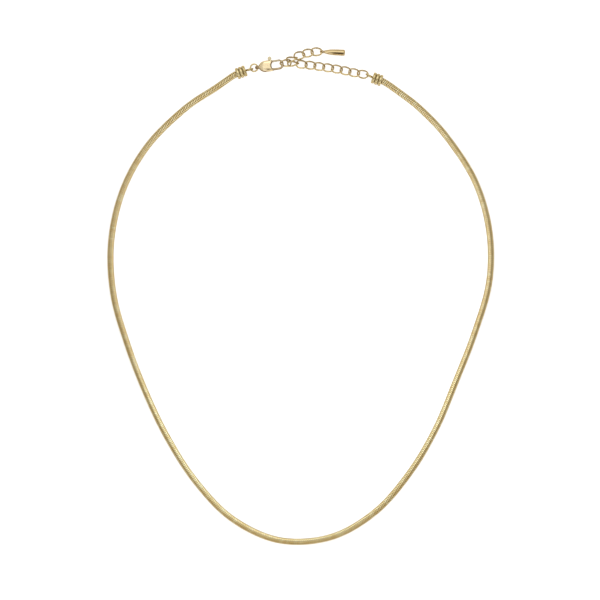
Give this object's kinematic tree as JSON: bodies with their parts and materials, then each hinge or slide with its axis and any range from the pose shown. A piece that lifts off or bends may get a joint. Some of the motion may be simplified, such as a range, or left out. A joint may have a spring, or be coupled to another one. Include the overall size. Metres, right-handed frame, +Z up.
{
  "type": "snake chain necklace",
  "caption": "Round snake chain necklace laid flat, with ribbed end caps, a lobster clasp and a curb extender chain that ends in a smooth drop.",
  "frame": {"origin": "middle of the laid necklace's box, on the surface that it lies on", "axes": "+Z up from the surface, +Y towards the clasp and the extender, +X towards the end cap that carries the extender"},
  "size_m": [0.1289, 0.1659, 0.0038],
  "materials": {
    "chain": "polished",
    "caps": "polished",
    "links": "polished",
    "clasp": "polished",
    "lever": "polished",
    "drop": "polished"
  },
  "bodies": {
    "necklace": {"snake_chain": "chain", "end_cap_left": "caps", "end_cap_right": "caps", "jump_ring": "links", "clasp_body": "clasp", "clasp_pin": "lever", "extender_link_01": "links", "extender_link_02": "links", "extender_link_03": "links", "extender_link_04": "links", "extender_link_05": "links", "extender_link_06": "links", "extender_link_07": "links", "extender_link_08": "links", "extender_link_09": "links", "extender_link_10": "links", "extender_link_11": "links", "extender_link_12": "links", "extender_link_13": "links", "extender_link_14": "links", "extender_drop": "drop"},
    "lever": {"clasp_lever": "lever"}
  },
  "joints": [
    {"name": "clasp_lever_hinge", "type": "hinge", "parent": "necklace", "child": "lever", "pos_m": [-0.01008, 0.07791, 0.0016], "axis": [0, 0, -1], "range_deg": [0, 25], "stiffness_Nm_per_rad": 0.004, "springref_deg": -17.19}
  ]
}
